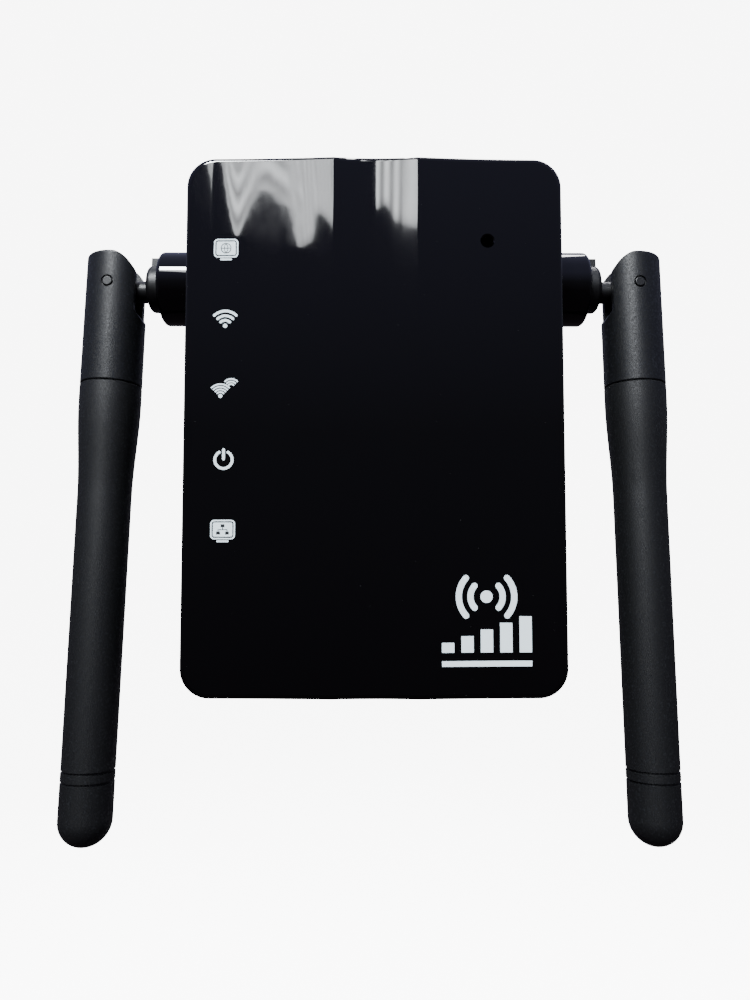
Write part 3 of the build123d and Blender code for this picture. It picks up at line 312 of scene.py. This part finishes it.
class Print:
    """One printed mark: thin pieces of ink that lie on the front's surface."""

    def __init__(self, name, x, z, material=PRINT_WHITE_PAINTED_GLOW, lift=PRINT_LIFT):
        self.name = name
        self.x = x
        self.z = z
        self.material = material
        self.lift = lift
        self.mesh = bmesh.new()

    def pair(self, point):
        """The outer and inner vertex of the ink at one point."""
        x = self.x + point[0] * MM
        z = self.z + point[1] * MM
        y = face_y(x, z)
        return self.mesh.verts.new((x, y - self.lift, z)), self.mesh.verts.new((x, y + PRINT_ROOT, z))

    def band(self, outer, inner, closed=False):
        """Ink between two lines with the same number of points."""
        a = [self.pair(p) for p in outer]
        b = [self.pair(p) for p in inner]
        count = len(a)
        new = self.mesh.faces.new
        for i in range(count if closed else count - 1):
            j = (i + 1) % count
            new((a[i][0], a[j][0], b[j][0], b[i][0]))
            new((a[i][1], b[i][1], b[j][1], a[j][1]))
            new((a[i][0], a[i][1], a[j][1], a[j][0]))
            new((b[i][0], b[j][0], b[j][1], b[i][1]))
        if not closed:
            for i in (0, count - 1):
                new((a[i][0], b[i][0], b[i][1], a[i][1]))

    def fan(self, outline):
        """A filled outline, closed about its middle."""
        points = [self.pair(p) for p in outline]
        count = len(points)
        middle = self.pair((sum(p[0] for p in outline) / count, sum(p[1] for p in outline) / count))
        for i in range(count):
            j = (i + 1) % count
            self.mesh.faces.new((points[i][0], points[j][0], middle[0]))
            self.mesh.faces.new((points[j][1], points[i][1], middle[1]))
            self.mesh.faces.new((points[i][0], points[i][1], points[j][1], points[j][0]))

    def ring(self, radius, width, start=0.0, end=360.0, x=0.0, z=0.0):
        """Part of a ring of ink, radius at its middle, with round ends where it is open."""
        half = width / 2
        full = end - start >= 360
        if full:
            end -= math.degrees(ARC_STEP)
        self.band(arc(radius + half, start, end, x, z), arc(radius - half, start, end, x, z), full)
        if not full:
            for angle in (start, end):
                a = math.radians(angle)
                self.dot(half, x + radius * math.cos(a), z + radius * math.sin(a))

    def dot(self, radius, x=0.0, z=0.0):
        self.fan(arc(radius, 0, DOT_END, x, z))

    def bar(self, width, height, x=0.0, z=0.0):
        """A rectangle of ink, cut into short lengths so that it follows the surface."""
        count = int(width) + 2
        xs = [x - width / 2 + width * i / (count - 1) for i in range(count)]
        self.band([(u, z + height / 2) for u in xs], [(u, z - height / 2) for u in xs])

    def pill(self, width, height, z):
        """A bar with round ends, its corners just short of meeting."""
        self.fan(rounded(width, height, min(width, height) / 2.01, z))

    def finish(self):
        bmesh.ops.recalc_face_normals(self.mesh, faces=self.mesh.faces)
        mesh = bpy.data.meshes.new(self.name)
        self.mesh.to_mesh(mesh)
        self.mesh.free()
        mesh.materials.append(self.material)
        piece = bpy.data.objects.new(self.name, mesh)
        bpy.context.scene.collection.objects.link(piece)
        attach(piece, "root")


def monitor(name, z, glyph):
    """A screen on a foot: an outer ring, a filled panel and a dark glyph on the panel."""
    icon = Print(name, ICON_X, z)
    outer = rounded(3.86, 3.02, 0.62, SCREEN_Z)
    icon.band(outer, rounded(3.4, 2.56, 0.42, SCREEN_Z), closed=True)
    icon.fan(rounded(3.04, 2.2, 0.26, SCREEN_Z))
    icon.pill(1.9, 0.3, z=-1.66)
    icon.finish()
    dark = Print(name + "_glyph", ICON_X, z, PRINT_DARK, GLYPH_LIFT)
    glyph(dark)
    dark.finish()


def globe(ink):
    """A globe: its outline, its equator and two meridians."""
    ink.ring(0.78, 0.13, z=SCREEN_Z)
    ink.bar(1.5, 0.12, z=SCREEN_Z)
    ink.ring(1.02, 0.11, -44, 44, x=-0.74, z=SCREEN_Z)
    ink.ring(1.02, 0.11, 136, 224, x=0.74, z=SCREEN_Z)


def wired_boxes(ink):
    """One box above two, joined by lines."""
    ink.bar(0.6, 0.46, z=0.74)
    ink.bar(0.12, 0.42, z=0.33)
    ink.bar(1.5, 0.12, z=0.12)
    for x in (-0.69, 0.69):
        ink.bar(0.12, 0.24, x=x, z=-0.05)
        ink.bar(0.6, 0.46, x=x, z=-0.4)


def signal_fan(ink, x, z, radii, width, dot=0.0):
    """Arcs that spread upward, with a dot of that radius below them if it isn't zero."""
    for radius in radii:
        ink.ring(radius, width, 46, 134, x, z)
    if dot:
        ink.dot(dot, x, z + dot * 0.4)


def wifi_icon(z):
    icon = Print("icon_wifi", ICON_X, z)
    signal_fan(icon, 0, -1.35, (1.02, 1.74, 2.5), 0.42, 0.34)
    icon.finish()


def double_wifi_icon(z):
    icon = Print("icon_wifi_pair", ICON_X, z)
    signal_fan(icon, -0.62, -1.35, (0.72, 1.14, 1.56, 1.98), 0.25, 0.32)
    signal_fan(icon, 1.06, 0.1, (0.55, 0.94, 1.36), 0.25)
    icon.finish()


def power_icon(z):
    icon = Print("icon_power", ICON_X, z)
    icon.ring(1.36, 0.44, -240, 60, z=-0.14)
    icon.pill(0.46, 1.9, z=0.72)
    icon.finish()


def service_mark():
    """A generic print in the lower right: a beacon with waves, above signal bars and a line."""
    mark = Print("front_mark", MARK_X, MARK_Z)
    beacon_z = 3.9
    stroke = 0.95
    mark.dot(stroke, z=beacon_z)
    for radius in (2.5, 4.3):
        mark.ring(radius, stroke, -42, 42, z=beacon_z)
        mark.ring(radius, stroke, 138, 222, z=beacon_z)
    heights = (1.5, 2.5, 3.5, 4.5, 5.5)
    bar_width = 1.9
    gap = 1.1
    bars_foot = -4.6
    start = -(len(heights) - 1) * (bar_width + gap) / 2
    for i, height in enumerate(heights):
        mark.bar(bar_width, height, start + i * (bar_width + gap), bars_foot + height / 2)
    mark.bar(13.9, 0.85, z=-6.3)
    mark.finish()


icon_rows = [ICON_TOP_Z - ICON_PITCH * i for i in range(ICON_COUNT)]
monitor("icon_internet", icon_rows[0], globe)
wifi_icon(icon_rows[1])
double_wifi_icon(icon_rows[2])
power_icon(icon_rows[3])
monitor("icon_network", icon_rows[4], wired_boxes)
service_mark()

# ---------------------------------------------------------------- camera

CAMERA_BEFORE_RIM = 115.4 * MM
CAMERA_BELOW_MIDDLE = 19.3 * MM
CAMERA_X = -0.39 * MM
CAMERA_PITCH = 3.54
CAMERA_YAW = 0.25
FOCAL_LENGTH = 26.77
SENSOR_WIDTH = 36
CLIP_NEAR = 0.005
CLIP_FAR = 50


def camera():
    data = bpy.data.cameras.new("camera")
    data.lens = FOCAL_LENGTH
    data.sensor_width = SENSOR_WIDTH
    data.clip_start = CLIP_NEAR
    data.clip_end = CLIP_FAR
    item = bpy.data.objects.new("camera", data)
    item.location = (CAMERA_X, RIM_Y - CAMERA_BEFORE_RIM, FACE_MID_Z - CAMERA_BELOW_MIDDLE)
    item.rotation_euler = (math.radians(90 + CAMERA_PITCH), 0, math.radians(-CAMERA_YAW))
    bpy.context.scene.collection.objects.link(item)
    bpy.context.scene.camera = item


camera()

# ---------------------------------------------------------------- stage and light

OBJECT_MIDDLE = (0, RIM_Y, FACE_MID_Z)
FLOOR_Z = -0.55
FLOOR_SIZE = 12.0
PAPER_WHITE = 8.0         # glow of the floor and the background, for the camera alone
WINDOW_Y = -0.85
WINDOW_TOP_Z = 0.97
WINDOW_GLOW = 26
CURTAIN_COLOR = (0.94, 0.97, 1.0)
CURTAIN_STEP = 0.0008
CURTAIN_ROWS = 40
CURTAIN_LOW = 0.3         # tone of the dark side of a fold
FOLD_PITCH_WIDE = 0.034
FOLD_PITCH_NARROW = 0.0032
FOLD_CHANGE_X = -0.16     # folds are narrow on the left of this, and wide on the right
FOLD_LEAN = 0.04
BAND_PITCH = 0.036
BANDS_END_X = -0.192      # bands follow the hem on the left of this, folds on the right
BANDS_FADE = 0.008
HEM_TONE = 0.55
HEM_DEPTH = 0.03
# Lower edge of the curtain, from left to right: place and height
HEM = [
    (-0.34, 0.7), (-0.226, 0.56), (-0.2085, 0.368), (-0.198, 0.43), (-0.1905, 0.41),
    (-0.186, 0.356), (-0.1775, 0.362), (-0.172, 0.4), (-0.152, 0.37), (-0.07, 0.385),
    (-0.03, 0.405), (0.003, 0.4),
]
# Each light's name, place, size, power, colour and whether it shows in reflections
LIGHTS = [
    ("key", (-0.3, -0.75, 0.85), (0.14, 0.2), 19, (0.93, 0.97, 1), True),
    ("side_right", (0.5, -0.75, 0.7), (0.2, 0.5), 2, (0.92, 0.96, 1), False),
    ("back_left", (-0.6, 0.8, 0.6), (0.6, 0.6), 22, (1, 1, 1), False),
    ("back_right", (0.6, 0.8, 0.5), (0.6, 0.6), 18, (1, 1, 1), False),
    ("back_high", (0.1, 0.45, 1.1), (0.5, 0.3), 10, (1, 1, 1), True),
    ("under", (0.2, 0.6, -0.5), (0.5, 0.3), 6, (1, 1, 1), False),
]
# The room that the gloss mirrors, from below to above
MIRRORED_LOW = (0.045, 0.035, 0.045, 1)
MIRRORED_MIDDLE = (0.11, 0.11, 0.14, 1)
MIRRORED_HIGH = (0.3, 0.31, 0.5, 1)
MIRRORED_FROM, MIRRORED_TO = -0.3, 0.6
AMBIENT_COLOR = (0.9, 0.94, 1, 1)
AMBIENT_STRENGTH = 0.1


def plain_floor():
    """A bright white floor, which only the camera sees, so that it throws no light upward."""
    bpy.ops.mesh.primitive_plane_add(size=FLOOR_SIZE, location=(0, 0, FLOOR_Z))
    floor = bpy.context.object
    floor.name = "floor"
    shader = Shader("floor", (0.86, 0.865, 0.87), 0.8)
    shader.tint(shader.noise(0.9), (0.88, 0.885, 0.89))
    shader.set("Emission Color", (1, 1, 1, 1))
    shader.set("Emission Strength", PAPER_WHITE)
    floor.data.materials.append(shader.material)
    floor.visible_glossy = False
    floor.visible_diffuse = False


def area_light(name, place, size, power, color, glossy):
    """A rectangular light that faces the object and isn't in the picture itself."""
    data = bpy.data.lights.new(name, "AREA")
    data.shape = "RECTANGLE"
    data.size = size[0]
    data.size_y = size[1]
    data.energy = power
    data.color = color
    item = bpy.data.objects.new(name, data)
    item.location = place
    toward = Vector(OBJECT_MIDDLE) - Vector(place)
    item.rotation_euler = toward.to_track_quat("-Z", "Y").to_euler()
    item.visible_camera = False
    item.visible_glossy = glossy
    bpy.context.scene.collection.objects.link(item)


def curtain_hem(x):
    """Height of the curtain's lower edge at x."""
    for (x0, z0), (x1, z1) in zip(HEM, HEM[1:]):
        if x <= x1:
            t = (x - x0) / (x1 - x0)
            return z0 + (z1 - z0) * t * t * (3 - 2 * t)
    return HEM[-1][1]


def curtain_tone(x, above):
    """Brightness of the curtain at x, so far above its hem: folds, and bands along the hem."""
    pitch = FOLD_PITCH_NARROW if x < FOLD_CHANGE_X else FOLD_PITCH_WIDE
    folds = 0.5 + 0.5 * math.cos(2 * math.pi * (x + FOLD_LEAN * above) / pitch)
    bands = 0.5 + 0.5 * math.cos(2 * math.pi * above / BAND_PITCH)
    share = min(1, max(0, (x - BANDS_END_X) / BANDS_FADE))
    hem_shade = min(1, HEM_TONE + above / HEM_DEPTH)
    return hem_shade * (CURTAIN_LOW + (1 - CURTAIN_LOW) * (folds * share + bands * (1 - share)))


def window_card():
    """A bright curtained window, up in front and to the left, that the gloss front mirrors."""
    mesh = bmesh.new()
    tone = mesh.verts.layers.float_color.new("tone")
    columns = []
    steps = int((HEM[-1][0] - HEM[0][0]) / CURTAIN_STEP)
    for i in range(steps + 1):
        x = HEM[0][0] + CURTAIN_STEP * i
        hem = curtain_hem(x)
        column = []
        for j in range(CURTAIN_ROWS + 1):
            above = (WINDOW_TOP_Z - hem) * (j / CURTAIN_ROWS) ** 2
            vertex = mesh.verts.new((x, WINDOW_Y, hem + above))
            vertex[tone] = (*scaled(CURTAIN_COLOR, curtain_tone(x, above)), 1)
            column.append(vertex)
        columns.append(column)
    for left, right in zip(columns, columns[1:]):
        for j in range(CURTAIN_ROWS):
            mesh.faces.new((left[j], right[j], right[j + 1], left[j + 1]))
    data = bpy.data.meshes.new("window_card")
    mesh.to_mesh(data)
    mesh.free()
    card = bpy.data.objects.new("window_card", data)
    bpy.context.scene.collection.objects.link(card)
    material = bpy.data.materials.new("window_card")
    material.use_nodes = True
    nodes = material.node_tree.nodes
    nodes.clear()
    tones = nodes.new("ShaderNodeVertexColor")
    tones.layer_name = "tone"
    glow = nodes.new("ShaderNodeEmission")
    glow.inputs["Strength"].default_value = WINDOW_GLOW
    out = nodes.new("ShaderNodeOutputMaterial")
    material.node_tree.links.new(tones.outputs["Color"], glow.inputs["Color"])
    material.node_tree.links.new(glow.outputs["Emission"], out.inputs["Surface"])
    data.materials.append(material)
    card.visible_camera = False
    card.visible_diffuse = False


def surroundings():
    """White behind the object for the camera, a weak even light, and a dim room to be mirrored."""
    world = bpy.data.worlds.new("room")
    bpy.context.scene.world = world
    world.use_nodes = True
    nodes = world.node_tree.nodes
    links = world.node_tree.links
    nodes.clear()
    ray = nodes.new("ShaderNodeLightPath")
    direction = nodes.new("ShaderNodeTexCoord")
    split = nodes.new("ShaderNodeSeparateXYZ")
    links.new(direction.outputs["Generated"], split.inputs["Vector"])
    ramp = nodes.new("ShaderNodeValToRGB")
    height = nodes.new("ShaderNodeMapRange")
    height.inputs["From Min"].default_value = MIRRORED_FROM
    height.inputs["From Max"].default_value = MIRRORED_TO
    links.new(split.outputs["Z"], height.inputs["Value"])
    links.new(height.outputs["Result"], ramp.inputs["Fac"])
    ramp.color_ramp.elements[0].color = MIRRORED_LOW
    ramp.color_ramp.elements[1].color = MIRRORED_HIGH
    middle = ramp.color_ramp.elements.new(0.5)
    middle.color = MIRRORED_MIDDLE
    mirrored = nodes.new("ShaderNodeBackground")
    links.new(ramp.outputs["Color"], mirrored.inputs["Color"])
    seen = nodes.new("ShaderNodeBackground")
    seen.inputs["Color"].default_value = (1, 1, 1, 1)
    seen.inputs["Strength"].default_value = PAPER_WHITE
    ambient = nodes.new("ShaderNodeBackground")
    ambient.inputs["Color"].default_value = AMBIENT_COLOR
    ambient.inputs["Strength"].default_value = AMBIENT_STRENGTH
    lit = nodes.new("ShaderNodeMixShader")
    links.new(ray.outputs["Is Glossy Ray"], lit.inputs[0])
    links.new(ambient.outputs[0], lit.inputs[1])
    links.new(mirrored.outputs[0], lit.inputs[2])
    final = nodes.new("ShaderNodeMixShader")
    links.new(ray.outputs["Is Camera Ray"], final.inputs[0])
    links.new(lit.outputs[0], final.inputs[1])
    links.new(seen.outputs[0], final.inputs[2])
    out = nodes.new("ShaderNodeOutputWorld")
    links.new(final.outputs[0], out.inputs["Surface"])


plain_floor()
for light in LIGHTS:
    area_light(*light)
window_card()
surroundings()
